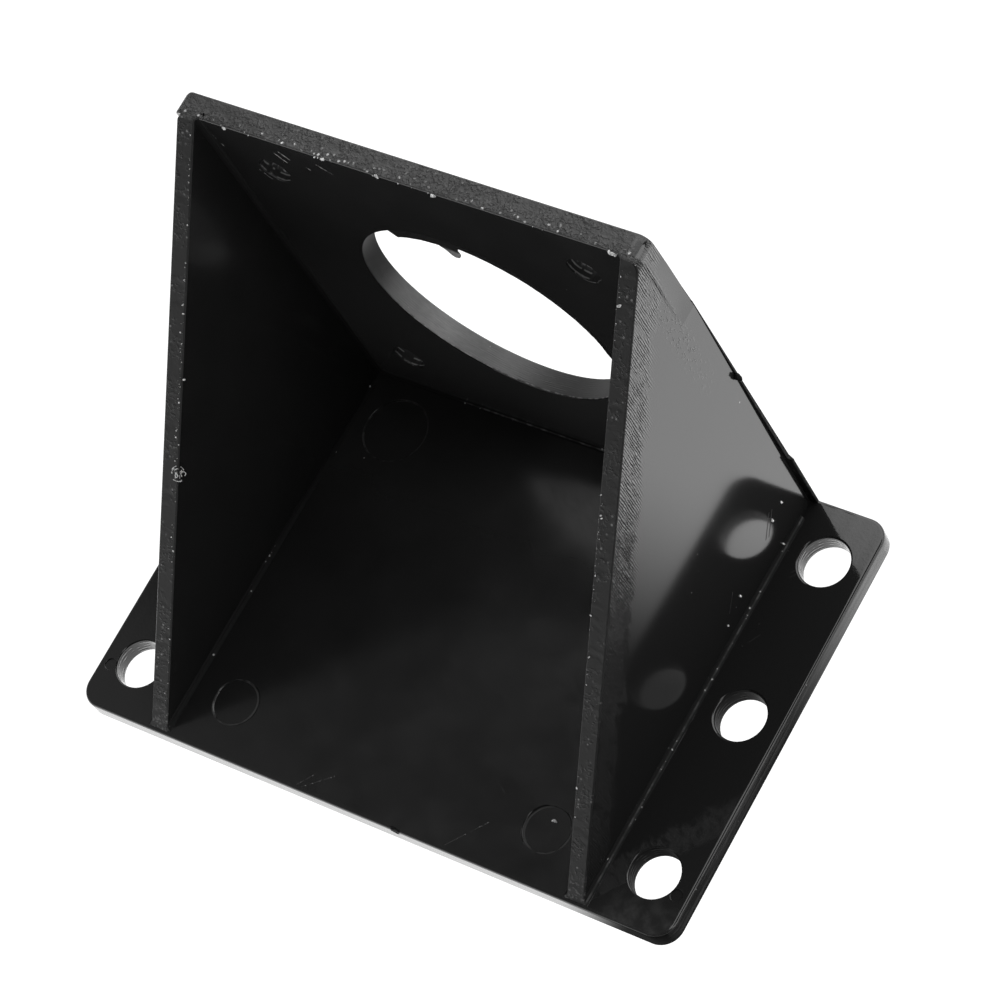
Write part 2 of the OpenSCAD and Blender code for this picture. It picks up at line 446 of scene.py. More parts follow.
def pocket_finish():
    finish = Finish("pocket_black")
    mottle = finish.cloud(3.5, 4.0)
    finish.bump(finish.cloud(0.5, 3.0), 0.003)
    broken = finish.cloud(0.5, 2.0).rise(0.4, 0.56)
    floor_marks = sum(finish.stroke((ax, ay, base_z), (bx, by, base_z), scratch_width)
                      for ax, ay, bx, by in floor_scratches) * broken
    plate_marks = sum(finish.stroke((ax, plate_y, az), (bx, plate_y, bz), scratch_width)
                      for ax, az, bx, bz in plate_scratches) * broken
    rub_marks_and_painted_sheen = finish.cloud((4.0, 0.25, 4.0), 3.0, (0, 0, 32)).rise(0.7, 0.8)
    on_plate = finish.y.rise(plate_y - 0.3, plate_y - 0.1)
    finish.bump(floor_marks + plate_marks, 0.012)
    finish.polish = 0.11 + mottle * 0.1 + rub_marks_and_painted_sheen * 0.08
    specks = finish.flecks(1.5, 0.05, 0.1)
    # Painted highlights: thin light rings along the rims of the pin marks.
    rings = 0.0
    for ring_x, ring_y, ring_r in pin_rings:
        away_x, away_y = finish.x.size() - ring_x, finish.y - ring_y
        away = ((away_x * away_x + away_y * away_y).root() - ring_r).size()
        rings = rings + (1.0 - away.rise(0.04, 0.12))
    rings = rings * (1.0 - finish.z.rise(2.0, 2.1)) * finish.cloud(1.2, 3.0).rise(0.35, 0.6)
    # Painted light: the plate is lighter low down, fading upwards, and the rear of the floor is
    # lighter.
    low_plate_painted_light = on_plate * (1.0 - finish.z.rise(6, 30))
    rear_floor_painted_light = (1.0 - finish.z.rise(2.0, 2.4)) * finish.y.rise(0, 12)
    finish.tone = (pocket_tone + rear_floor_painted_light * 0.008 + specks * 0.16 + mottle * 0.004
                   + floor_marks * 0.02 + plate_marks * 0.3 + on_plate * 0.003
                   + low_plate_painted_light * 0.022 + rings * 0.03)
    return finish.done()


pocket = pocket_finish()

# %% [markdown]
# ### Cut top and sloping strips
#
# The top of the plate was cut or broken off, so it is grey and grainy, with white flecks along its
# inner edge. The sloping strips are matt, crossed by faint arcs that a cutter left.

# %% The cut top
def cut_top_finish():
    finish = Finish("cut_top")
    grain = finish.cloud(0.3, 4.0)
    coarse = finish.cloud(1.6, 4.0)
    torn_here = finish.x.rise(-18.5, -15.0) * (1.0 - finish.x.rise(18.5, 21.5))
    torn_here = torn_here * coarse.rise(0.42, 0.56)
    inner = 1.0 - finish.y.rise(plate_y + 0.2, plate_y + 1.1)
    pits = grain.rise(0.42, 0.6) * (0.15 + 0.85 * torn_here.most(inner))
    finish.bump(pits, 0.1)
    finish.bump(coarse, 0.15)
    torn = finish.flecks(0.42, 0.5, 0.17) * (torn_here * 0.5 + inner * 0.9) * grain.rise(0.42, 0.58)
    finish.tone = (0.008 + coarse * 0.01 + pits * 0.016
                   + finish.x.rise(-19, -12) * (0.008 + coarse * 0.02)
                   + torn * (0.14 + inner * 0.35))
    finish.polish = 0.4 + grain * 0.2
    return finish.done()


cut_top = cut_top_finish()

# %% The sloping strips
arc_step = 1.3
strip_middle = 22.2


def strip_finish():
    finish = Finish("matt_strip")
    finish.dull(0.3)
    along = (finish.y - slope_start.y) * slope_run.y + (finish.z - slope_start.z) * slope_run.z
    aside = finish.x.size() - strip_middle
    bow = along + aside * aside * 0.35
    arcs = (bow + finish.cloud(2.0) * 0.9).wave(arc_step) * finish.cloud(1.5).rise(0.5, 0.62)
    grain = finish.cloud(0.3, 3.0)
    patches = finish.cloud(1.8, 3.0)
    foot = 1.0 - along.rise(0.4, 3.5)
    flecks = finish.flecks(0.42, 0.3, 0.14) * patches.rise(0.46, 0.6)
    pits = grain.rise(0.5, 0.66) * patches.rise(0.45, 0.6)
    finish.bump(arcs, 0.01)
    finish.bump(grain, 0.01)
    finish.bump(pits, 0.035)
    finish.tone = 0.004 + patches * 0.006 + flecks * 0.14 + foot * grain.rise(0.5, 0.66) * 0.07
    finish.polish = 0.42 + grain * 0.14
    return finish.done()


strip = strip_finish()

# %% [markdown]
# ### Holes, edges and inner corners
#
# The wall of the large opening is dull, with fine lines round it and a paler stretch of painted
# reflection. The sides of the base are streaked along their length, and the right side is painted
# lighter, a painted reflection. The fillets in the inner corners are dull, so they don't show as
# bright ribbons; thin painted highlights run along them, with a few bright specks. The walls of the
# plate's screw holes are painted lighter, in streaks, a painted reflection.

# %% The large opening's wall
ring_step = 0.19


def bore_finish():
    finish = Finish("dull_bore")
    finish.dull(0.5)
    mottle = finish.cloud((0.9, 0.35, 0.9), 4.0)
    rings = (finish.y + finish.cloud(2.5) * 0.3).wave(ring_step)
    rings = rings * finish.cloud((1.5, 0.3, 1.5), 2.0).rise(0.45, 0.65)
    finish.bump(rings, 0.004)
    finish.bump(mottle, 0.008)
    finish.bump(finish.cloud(0.25, 2.0), 0.004)
    rim = 1.0 - finish.y.rise(plate_y + 0.03, plate_y + 0.16)
    rim = rim * (1.0 - finish.z.rise(bore_z - 6, bore_z - 2))
    torn = rim * finish.cloud(0.5, 3.0).rise(0.42, 0.62)
    # Painted reflection: a paler, mottled stretch on the left of the wall.
    rub_marks_and_painted_sheen = finish.x.rise(-12.7, -10) * (1.0 - finish.x.rise(-9, 0)) * (0.07 + mottle * 0.07)
    specks = finish.flecks(0.7, 0.12, 0.09)
    finish.tone = 0.004 + mottle * 0.012 + rub_marks_and_painted_sheen + specks * 0.08 + torn * 0.2
    finish.polish = 0.32 + mottle * 0.1 + finish.x.rise(-1, 4) * 0.15
    return finish.done()


bore_black = bore_finish()


# %% The small holes' walls
rib_step = 0.4
streak_step = 0.5


def hole_finish():
    finish = Finish("dark_hole")
    finish.dull(0.28)
    ribs = (finish.z + finish.cloud(1.5) * 0.3).wave(rib_step) * finish.cloud(0.9).rise(0.46, 0.6)
    finish.bump(ribs, 0.02)
    finish.polish = 0.1 + finish.cloud(0.6, 3.0) * 0.15
    # Painted reflection: the walls of the screw holes in the plate are painted lighter, in streaks.
    plate_hole_painted_light = finish.y.rise(plate_y - 0.3, plate_y) * finish.z.rise(3, 4)
    streaks = (finish.y + finish.cloud(1.0) * 0.3).wave(streak_step).rise(0.5, 0.95)
    streaks = streaks * finish.cloud((0.8, 5.0, 0.8)).rise(0.48, 0.56)
    specks = finish.flecks(0.5, 0.1, 0.1)
    finish.tone = 0.003 + specks * 0.08 + plate_hole_painted_light * (0.012 + streaks * 0.1)
    return finish.done()


hole_black = hole_finish()


# %% The base's sides
def edge_finish():
    finish = Finish("streaked_edge")
    streaks = finish.cloud((6.0, 6.0, 0.18), 3.0)
    finish.bump(streaks, 0.012)
    finish.bump(finish.cloud(0.4, 2.0), 0.006)
    # Painted reflection: the right side of the base is painted lighter, in streaks.
    right_side_painted_light = finish.x.rise(side_x - 0.5, side_x - 0.1)
    specks = finish.flecks(0.9, 0.08, 0.08)
    finish.polish = 0.12 + streaks * 0.2 + right_side_painted_light * 0.2
    finish.tone = 0.004 + specks * 0.2 + right_side_painted_light * (0.012 + streaks.rise(0.4, 0.7) * 0.05)
    return finish.done()


edge_black = edge_finish()


# %% The inner corners
def corner_finish():
    finish = Finish("dull_corner", polish=0.6)
    finish.dull(0.06)
    broken = finish.cloud(0.9, 3.0)
    # Painted highlights: thin light lines along the fillets at the walls' feet and the plate's
    # foot.
    fillet_highlight_band = finish.z.between(base_z + 0.05, base_z + 0.14, 0.03)
    foot_highlight = fillet_highlight_band * finish.x.size().rise(22.8, 23.0)
    plate_highlight = fillet_highlight_band * finish.y.rise(17.6, 17.9) * finish.x.rise(-13, -8)
    lines = (foot_highlight + plate_highlight * 2.2) * (0.012 + broken.rise(0.45, 0.65) * 0.035)
    specks = finish.flecks(0.4, 0.16, 0.13) * broken.rise(0.5, 0.56)
    specks = specks * (1.0 - finish.z.rise(2.6, 3.2))
    finish.bump(broken, 0.02)
    finish.tone = 0.01 + lines + specks * 0.45
    return finish.done()


corner_black = corner_finish()


# %% The corners of the plate
def quiet_corner_finish():
    finish = Finish("quiet_corner", polish=0.6)
    finish.dull(0.02)
    finish.bump(finish.cloud(0.9, 3.0), 0.01)
    finish.tone = 0.008 + finish.cloud(2.0, 3.0) * 0.004
    return finish.done()


quiet_corner = quiet_corner_finish()


# %% The rear lip's painted shade, also on the burrs
def painted_shade_lip_and_burrs_finish():
    finish = Finish("painted_shade_lip_and_burrs", polish=0.5)
    # Painted shade: the lip down the rear edge is dull and dark, standing in for a rounded edge
    # that mirrors the dark room; the burrs share this finish.
    finish.dull(0.03)
    band_mottle = finish.cloud(0.5, 3.0)
    finish.bump(band_mottle, 0.03)
    finish.tone = 0.01 + band_mottle.rise(0.55, 0.75) * 0.02
    return finish.done()


painted_shade_lip_and_burrs = painted_shade_lip_and_burrs_finish()

# %% [markdown]
# ## The bracket's skin
#
# The CAD mesh is exact but its edges are razor sharp, and no moulded edge is. A merged copy gets
# its flat faces back as single faces, then a small bevel along the outer edges, wider at the mouths
# of the middle and rear flange holes, and finer on the lip and round the pin marks and the screw
# holes. The base's top is cut in three, so that the pocket's floor and the flanges can differ. Each
# face gets its finish by where it lies and which way it looks, and a weighted normal keeps the
# large faces flat in their reflections.

# %% A clean copy of the solid
same_place = 0.001
same_plane = math.radians(0.4)

body = bmesh.new()
body.from_mesh(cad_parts["bracket"].data)
bmesh.ops.remove_doubles(body, verts=body.verts, dist=same_place * MM)
bmesh.ops.dissolve_limit(body, angle_limit=same_plane, use_dissolve_boundaries=False,
                         verts=body.verts, edges=body.edges)
print("faces after joining the flat ones:", len(body.faces))

# %% The step under the plate's top
# The mould's step on the right side is a soft ramp and no ledge: the corners of the ledge slide.
wall_starts = 22
ledge_outside = 22.95
close = 0.02
ramp = 2.6
flush = 0.2
lean = 0.57 / 42.3
outer_corners = inner_corners = 0
for vert in body.verts:
    x, y, z = vert.co / MM
    if x > wall_starts and abs(z - cap_z) < close and y > plate_y - 0.3:
        if x > ledge_outside:
            vert.co += Vector((ramp * lean, 0, -ramp)) * MM
            outer_corners += 1
        else:
            vert.co.x += flush * MM
            inner_corners += 1
print("ledge corners moved:", outer_corners, "outer,", inner_corners, "inner")

# %% The lip's taper
# The lip down the right rear edge thins out upwards, so its top corner slides back.
lip_top_z = 34.0
lip_t = 0.35
lip_thin = 0.07
lip_corners = 0
for vert in body.verts:
    x, y, z = vert.co / MM
    if x > wall_starts and z > lip_top_z and abs(y - (back_y - lip_t)) < close:
        vert.co.y = (back_y - lip_thin) * MM
        lip_corners += 1
print("lip corners moved:", lip_corners)

# %% How round each edge is
small_round = 0.12
mouth_round = 0.2
fine_round = 0.04
least_angle = math.radians(35)
too_short = 0.3
on_line = 0.06
pin_marks = pin_rings + [small_pin_mark]
screw_rims = [(screw_x, place, screw_r) for place in screw_heights]
hole_rims = [(hole_x, place, hole_r) for place in hole_places]


def near_circle(a, b, circles, reach):
    """True where a place lies on the line of one of the circles."""
    return any(abs(math.hypot(a - x, b - y) - r) < reach for x, y, r in circles)


def edge_round(edge):
    """The bevel that an edge gets, in millimetres, or 0 for none."""
    if not edge.is_manifold or not edge.is_convex or edge.calc_face_angle() < least_angle:
        return 0
    x, y, z = (edge.verts[0].co + edge.verts[1].co) / 2 / MM
    reach = abs(x)
    rear_foot = reach > 22.5 and y > 19.9 and z < 2.5
    front_foot = 22.8 < reach < 24.4 and y < -19.8 and z > base_z - 0.1
    on_ramp = x > 22.2 and cap_z - ramp - 0.3 < z < top_z - 1.3 and y < back_y - 0.2
    on_lip = x > 22.6 and y > back_y - 0.4 and 9 < z < 40
    on_pin_mark = z > base_z - 0.2 and near_circle(reach, y, pin_marks, on_line)
    on_screw_rim = y < plate_y + 0.1 and near_circle(reach, z, screw_rims, on_line)
    on_mouth = z > 1 and near_circle(reach, y, hole_rims[1:], on_line)
    if rear_foot or on_ramp or (front_foot and edge.calc_length() < too_short * MM):
        return 0
    if on_lip or on_pin_mark or on_screw_rim:
        return fine_round
    return mouth_round if on_mouth else small_round


# %% Rounded edges
rounds = {}
for edge in body.edges:
    size = edge_round(edge)
    if size:
        rounds.setdefault(size, []).append(edge)
for size, edges in sorted(rounds.items(), reverse=True):
    edges = [edge for edge in edges if edge.is_valid]
    bmesh.ops.bevel(body, geom=edges, offset=size * MM, offset_type="OFFSET", segments=2,
                    profile=0.5, affect="EDGES", clamp_overlap=False)
    print(len(edges), "edges rounded by", size, "mm")

# %% The base's top in three parts
# The floor of the pocket and both flanges are one face: two cuts under the walls part them.
wall_middle = 22.25
for cut_x in (-wall_middle, wall_middle):
    top_faces = [face for face in body.faces
                 if face.normal.z > 0.3 and abs(face.calc_center_median().z / MM - base_z) < 0.1]
    parts = dict.fromkeys(top_faces)
    for face in top_faces:
        parts.update(dict.fromkeys([*face.edges, *face.verts]))
    bmesh.ops.bisect_plane(body, geom=list(parts), dist=0.0001 * MM,
                           plane_co=(cut_x * MM, 0, 0), plane_no=(1, 0, 0))
print("faces after the cuts:", len(body.faces))

# %% Which face has which finish
finishes = [polished, pocket, cut_top, strip, bore_black, hole_black, edge_black, corner_black,
            quiet_corner, painted_shade_lip_and_burrs]
bore_rim = [(0, bore_z, bore_r)]
on_wall = 0.1


def finish_of(face):
    normal = face.normal
    x, y, z = face.calc_center_median() / MM
    reach = abs(x)
    inside = reach < 21.9 and y < plate_y + 0.2 and z > base_z - 0.3
    sideways, forwards = abs(normal.x) > 0.15, normal.y < -0.15
    on_slope = normal.dot(slope_up) > 0.3 and normal.z > 0.1 and normal.y < -0.1
    on_lip = reach > wall_starts and y > back_y - 0.5 and normal.y < 0.98
    in_bore = plate_y - 0.1 < y < back_y + 0.1 and near_circle(x, z, bore_rim, on_wall)
    if normal.z > 0.8 and z > top_z - 0.4:
        return cut_top
    if on_slope and reach > 21 and z > base_z:
        return strip
    if in_bore and abs(normal.y) < 0.8:
        return bore_black
    if near_circle(reach, y, hole_rims, on_wall) and normal.z < 0.3:
        return hole_black
    if near_circle(reach, z, screw_rims, on_wall) and abs(normal.y) < 0.8:
        return hole_black
    if z < base_z and abs(normal.z) < 0.7 and not inside:
        return edge_black
    if on_lip and base_z < z < top_z - 1:
        return painted_shade_lip_and_burrs
    if normal.z > 0.15 and (sideways or forwards) and base_z < z < base_z + 0.6:
        return corner_black
    if inside and sideways and forwards:
        return quiet_corner
    return pocket if inside else polished


large_area = 20 * MM * MM
large_faces = [(face.normal.copy(), face.calc_center_median() / MM) for face in body.faces
               if face.calc_area() > large_area]


def is_flat(face):
    """True for each piece of a large flat face: its neighbours mustn't bend its shading."""
    centre = face.calc_center_median() / MM
    if face.normal.z > 0.9999:
        return True
    if centre.x > wall_starts and centre.y > plate_y - 1 and centre.z > cap_z - ramp - 0.3:
        return False
    return any(face.normal.dot(normal) > 0.99999 and abs((centre - place).dot(normal)) < 0.01
               for normal, place in large_faces)


for face in body.faces:
    face.material_index = finishes.index(finish_of(face))
    face.smooth = not is_flat(face)
smooth_faces = [face.smooth for face in body.faces]
print("large faces:", len(large_faces), "flat pieces:", smooth_faces.count(False))
used = [face.material_index for face in body.faces]
for number, finish in enumerate(finishes):
    print(finish.name, "is on", used.count(number), "faces")

# %% The finished skin
# Marking sharp edges resets which faces are smooth, so that is set again afterwards.
sharp_angle = math.radians(50)
strongest_weight = 100


def as_evaluated(thing):
    """A plain mesh of an object as its modifiers leave it."""
    graph = bpy.context.evaluated_depsgraph_get()
    return bpy.data.meshes.new_from_object(thing.evaluated_get(graph))


body_mesh = bpy.data.meshes.new("bracket_body")
body.to_mesh(body_mesh)
body.free()
for finish in finishes:
    body_mesh.materials.append(finish)
body_mesh.set_sharp_from_angle(angle=sharp_angle)
body_mesh.polygons.foreach_set("use_smooth", smooth_faces)
bracket = bpy.data.objects.new("bracket_body", body_mesh)
scene.collection.objects.link(bracket)
shading = bracket.modifiers.new("flat faces stay flat", "WEIGHTED_NORMAL")
shading.mode = "FACE_AREA"
shading.weight = strongest_weight
shading.keep_sharp = True
flat = as_evaluated(bracket)
bracket.modifiers.remove(shading)
bracket.data = flat
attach(bracket, "root")
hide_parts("bracket")
print("bracket_body has", len(flat.polygons), "faces")

# %% [markdown]
# ## What the mould left in the opening
#
# Plastic crept into the gap of the mould and left a thin film just inside the front rim of the
# large opening: narrow on the right and wider at the top, where a small loose tongue hangs. Its
# width is a rule of the angle, so one loop around the rim makes it, with a front and a back.

# %% The moulding film
film_t = 0.07
film_y = plate_y + 0.02
film_start, film_end = -8, 119
film_steps = 250
tongue_angle = 83
tongue_lean = 0.01


def film_width(angle):
    """How far the film reaches in from the rim, in millimetres."""
    ends = min(1, (angle - film_start) / 9, (film_end - angle) / 1.2)
    wide = 0.4 + 0.2 * min(1, max(0, angle / 28)) + 0.5 * min(1, max(0, (angle - 84) / 5))
    wide -= 0.15 * min(1, max(0, (angle - 94) / 20))
    ragged = 0.06 * noise.noise(Vector((angle * 0.21, 3.1, 0)))
    ragged += 0.03 * noise.noise(Vector((angle * 0.9, 0, 5.2)))
    return max(0.02, ends * (wide + ragged))


def film_mesh():
    work = bmesh.new()
    previous = None
    for step in range(film_steps + 1):
        angle = film_start + (film_end - film_start) * step / film_steps
        turn_x, turn_z = math.cos(math.radians(angle)), math.sin(math.radians(angle))
        outer, inner = bore_r + 0.05, bore_r - film_width(angle)
        film_back = film_y + film_t
        section = ((outer, film_y), (inner, film_y + 0.01), (inner, film_back), (outer, film_back))
        ring = [work.verts.new(Vector((turn_x * r, y, bore_z + turn_z * r)) * MM)
                for r, y in section]
        if previous:
            for k in range(4):
                work.faces.new((previous[k], previous[(k + 1) % 4], ring[(k + 1) % 4], ring[k]))
        else:
            work.faces.new(ring)
        previous = ring
    work.faces.new(previous[::-1])
    bmesh.ops.recalc_face_normals(work, faces=work.faces)
    return work


def tongue_mesh():
    """A flat flake that hangs from the film and leans forward by a hair."""
    work = bmesh.new()
    outline = [(-1.9, -0.6), (-0.9, -0.3), (0.3, -0.1), (0.12, -0.32), (-0.01, -0.5),
               (-0.04, -0.81), (0.05, -1.04), (0.09, -1.28), (0.03, -1.58), (-0.12, -1.85),
               (-0.29, -1.99), (-0.58, -2.05), (-0.85, -1.92), (-1.07, -1.67), (-1.37, -1.28),
               (-1.84, -1.0)]
    centre = math.radians(tongue_angle)
    sideways = Vector((-math.sin(centre), 0, math.cos(centre)))
    outward = Vector((math.cos(centre), 0, math.sin(centre)))
    start = Vector((0, film_y, bore_z)) + outward * (bore_r - 0.3)
    layers = []
    for back in (0, film_t):
        layer = []
        for u, v in outline:
            lean_in = Vector((0, back - v * v * tongue_lean, 0))
            layer.append(work.verts.new((start + sideways * -u + outward * v + lean_in) * MM))
        layers.append(layer)
    front, rear = layers
    faces = [work.faces.new(front), work.faces.new(rear[::-1])]
    for k in range(len(outline)):
        after = (k + 1) % len(outline)
        faces.append(work.faces.new((front[after], front[k], rear[k], rear[after])))
    bmesh.ops.triangulate(work, faces=faces[:2])
    bmesh.ops.recalc_face_normals(work, faces=work.faces)
    return work


# %% The film's finish
def film_finish():
    finish = Finish("thin_film")
    finish.dull(0.15)
    mottle = finish.cloud(0.4, 3.0)
    hanging = 1.0 - (finish.z - bore_z + finish.x * 0.12).rise(bore_r - 1.5, bore_r - 1.0)
    hanging = hanging * finish.x.between(-0.6, 1.6, 0.3)
    finish.bump(mottle, 0.02)
    finish.tone = 0.004 + mottle * 0.006 + hanging * (0.04 + mottle * 0.3)
    finish.polish = 0.3 + mottle * 0.2
    return finish.done()


def add_piece(name, mesh, material):
    """Puts a finished mesh at the origin, with its finish, and lets it ride with the bracket."""
    mesh.materials.clear()
    mesh.materials.append(material)
    piece = bpy.data.objects.new(name, mesh)
    scene.collection.objects.link(piece)
    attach(piece, "root")
    print(name, "has", len(mesh.polygons), "faces")
    return piece


film_black = film_finish()
for name, work in (("bore_film", film_mesh()), ("bore_burr", tongue_mesh())):
    mesh = bpy.data.meshes.new(name)
    work.to_mesh(mesh)
    work.free()
    add_piece(name, mesh, film_black)

# %% [markdown]
# ## White chips
#
# Small pale crumbs cling to the cut edges: along the inner edge of the top, on the sloping strips
# and where a wall meets its flange. A crumb is the same thing over and over, so Geometry Nodes
# scatter one twenty-sided crumb over narrow bands, each turned and sized at random from a fixed
# seed, and realise them into one plain mesh. What would stick out past the bracket is pressed flat.

# %% The crumbs' finish
def crumb_finish():
    finish = Finish("pale_crumb")
    mottle = finish.cloud(0.15, 2.0)
    finish.bump(mottle, 0.02)
    finish.tone = 0.3 + mottle.rise(0.3, 0.7) * 0.6
    finish.polish = 0.35 + mottle * 0.3
    return finish.done()


pale_crumb = crumb_finish()


# %% Where crumbs lie
band_steps = 60


def band(start, end, width_start, width_end):
    """A ragged ribbon from start to end, in millimetres; crumbs gather where it is wide."""
    start, end = Vector(start), Vector(end)
    side = Vector(width_start)
    rows = []
    for step in range(band_steps + 1):
        share = step / band_steps
        swell = max(0.05, 0.5 + 1.6 * noise.noise(start * 0.37 + Vector((share * 9, 0, 0))))
        place = start.lerp(end, share)
        rows.append((place - side * swell, place + Vector(width_end) * swell))
    return rows


crumb_bands = [
    band((-20.6, plate_y - 0.02, top_z - 0.12), (20.8, plate_y - 0.02, top_z - 0.12),
         (0, 0, 0.08), (0, 0, 0.02)),
    band((21.5, -19.4, base_z + 0.8), (21.35, 17.4, top_z - 0.7), (0.1, 0, 0), (0.3, 0, 0)),
    band((-21.5, -19.4, base_z + 0.8), (-21.35, 17.4, top_z - 0.7), (0.4, 0, 0), (0.05, 0, 0)),
    band((23.3, -19.0, base_z + 0.12), (23.72, 19.6, base_z + 0.12), (0.02, 0, 0), (0.1, 0, 0)),
]
# Each heap has a place and a reach, and its crumbs lie a little below the place.
heap_drop = 0.1
crumb_heaps = [
    ((-20.7, 18.7, 44.1), 0.35), ((-18.4, 18.35, 44.05), 0.25), ((-14.5, 18.6, 44.1), 0.35),
    ((-8.2, 18.45, 44.05), 0.3), ((-7.2, 18.5, 44.1), 0.35), ((-2.7, 18.35, 44.05), 0.3),
    ((3.0, 18.35, 44.0), 0.2), ((20.3, 18.3, 43.95), 0.35), ((-21.1, 2.5, 27.0), 0.12),
    ((21.6, 15.4, 41.3), 0.15), ((23.52, 17.5, 6.3), 0.14), ((23.5, 15.7, 6.3), 0.12),
    ((23.55, 15.4, 2.6), 0.14), ((23.45, 9.0, 4.6), 0.13), ((23.43, 6.4, 3.9), 0.15),
    ((16.9, -14.4, 1.92), 0.2),
]


def plain_mesh(name, verts, faces):
    mesh = bpy.data.meshes.new(name)
    mesh.from_pydata(verts, [], faces)
    return mesh


def heaps_mesh():
    """A small upright triangle under each heap of crumbs."""
    verts, faces = [], []
    for place, reach in crumb_heaps:
        centre = Vector(place) - Vector((0, 0, heap_drop))
        for offset in ((-reach, 0, 0), (reach, 0, 0), (0, 0, 0.3 * reach)):
            verts.append((centre + Vector(offset)) * MM)
        faces.append((len(verts) - 3, len(verts) - 2, len(verts) - 1))
    return plain_mesh("crumb_heaps", verts, faces)


def bands_mesh():
    verts, faces = [], []
    for rows in crumb_bands:
        for a, b in rows:
            verts += [a * MM, b * MM]
        first = len(verts) - 2 * len(rows)
        for k in range(first, len(verts) - 2, 2):
            faces.append((k, k + 1, k + 3, k + 2))
    return plain_mesh("crumb_bands", verts, faces)


# %% A tree that scatters crumbs
def new_tree(name, inputs):
    tree = bpy.data.node_groups.new(name, "GeometryNodeTree")
    tree.interface.new_socket("Geometry", in_out="INPUT", socket_type="NodeSocketGeometry")
    tree.interface.new_socket("Geometry", in_out="OUTPUT", socket_type="NodeSocketGeometry")
    sockets = {}
    for label, kind, value in inputs:
        socket = tree.interface.new_socket(label, in_out="INPUT", socket_type=kind)
        socket.default_value = value
        sockets[label] = socket.identifier
    start = tree.nodes.new("NodeGroupInput")
    given = {socket.name: Wire(tree, socket) for socket in start.outputs if socket.name}
    return tree, sockets, given


def random_value(tree, kind, least, most, seed):
    values = {"Min": least, "Max": most, "Seed": seed}
    return add_node(tree, "FunctionNodeRandomValue", {"data_type": kind}, values)["Value"]


def end_tree(tree, shape, material):
    """Every tree ends by turning copies into plain mesh and giving it its material."""
    plain = add_node(tree, "GeometryNodeRealizeInstances", {}, {"Geometry": shape})["Geometry"]
    dressed = add_node(tree, "GeometryNodeSetMaterial", {},
                       {"Geometry": plain, "Material": material})["Geometry"]
    tree.links.new(dressed.socket, tree.nodes.new("NodeGroupOutput").inputs["Geometry"])


def grow(name, mesh, tree, values):
    """Runs a tree on a mesh and keeps the result as a plain mesh."""
    carrier = bpy.data.objects.new(name, mesh)
    scene.collection.objects.link(carrier)
    modifier = carrier.modifiers.new(name, "NODES")
    modifier.node_group = tree
    for identifier, value in values.items():
        modifier[identifier] = value
    carrier.update_tag()
    result = as_evaluated(carrier)
    carrier.modifiers.remove(modifier)
    bpy.data.objects.remove(carrier)
    return result


def keep_inside(mesh):
    """Presses what sticks out of the bracket's box flat against the box."""
    for vert in mesh.vertices:
        vert.co = [min(max(a, least), most) for a, least, most in zip(vert.co, low, high)]


full_turn = (6.28, 6.28, 6.28)
no_turn = (0, 0, 0)
crumb_width, crumb_height = 0.6, 0.5

crumb_tree, crumb_inputs, given = new_tree("scatter_crumbs", [
    ("Per Square Metre", "NodeSocketFloat", 4e6), ("Smallest", "NodeSocketFloat", 0.04 * MM),
    ("Largest", "NodeSocketFloat", 0.16 * MM), ("Seed", "NodeSocketInt", 4)])
seed = given["Seed"]
points = add_node(crumb_tree, "GeometryNodeDistributePointsOnFaces",
                  {"distribute_method": "RANDOM"},
                  {"Mesh": given["Geometry"], "Density": given["Per Square Metre"],
                   "Seed": seed})["Points"]
crumb = add_node(crumb_tree, "GeometryNodeMeshIcoSphere", {},
                 {"Radius": 1.0, "Subdivisions": 1})["Mesh"]
turned = random_value(crumb_tree, "FLOAT_VECTOR", no_turn, full_turn, seed)
spread = random_value(crumb_tree, "FLOAT", 0.0, 1.0, seed)
length = given["Smallest"] + spread * spread * spread * (given["Largest"] - given["Smallest"])
sizes = add_node(crumb_tree, "ShaderNodeCombineXYZ", {},
                 {"X": length, "Y": length * crumb_width, "Z": length * crumb_height})["Vector"]
crumbs = add_node(crumb_tree, "GeometryNodeInstanceOnPoints", {},
                  {"Points": points, "Instance": crumb, "Rotation": turned,
                   "Scale": sizes})["Instances"]
end_tree(crumb_tree, crumbs, pale_crumb)

# %% The crumbs
crumbs_mesh = grow("edge_crumbs", bands_mesh(), crumb_tree, {
    crumb_inputs["Per Square Metre"]: 6e6, crumb_inputs["Smallest"]: 0.02 * MM,
    crumb_inputs["Largest"]: 0.16 * MM, crumb_inputs["Seed"]: 7})
keep_inside(crumbs_mesh)
add_piece("edge_crumbs", crumbs_mesh, pale_crumb)
heap_mesh = grow("crumb_heaps", heaps_mesh(), crumb_tree, {
    crumb_inputs["Per Square Metre"]: 420e6, crumb_inputs["Smallest"]: 0.1 * MM,
    crumb_inputs["Largest"]: 0.4 * MM, crumb_inputs["Seed"]: 3})
keep_inside(heap_mesh)
add_piece("crumb_heaps", heap_mesh, pale_crumb)

# %% [markdown]
# ## A tuft of fibres
#
# A little knot of pale fibres is caught on the left strip. It is one short bow, copied thirteen
# times about one place, turned at random and then swept with a thin round section.

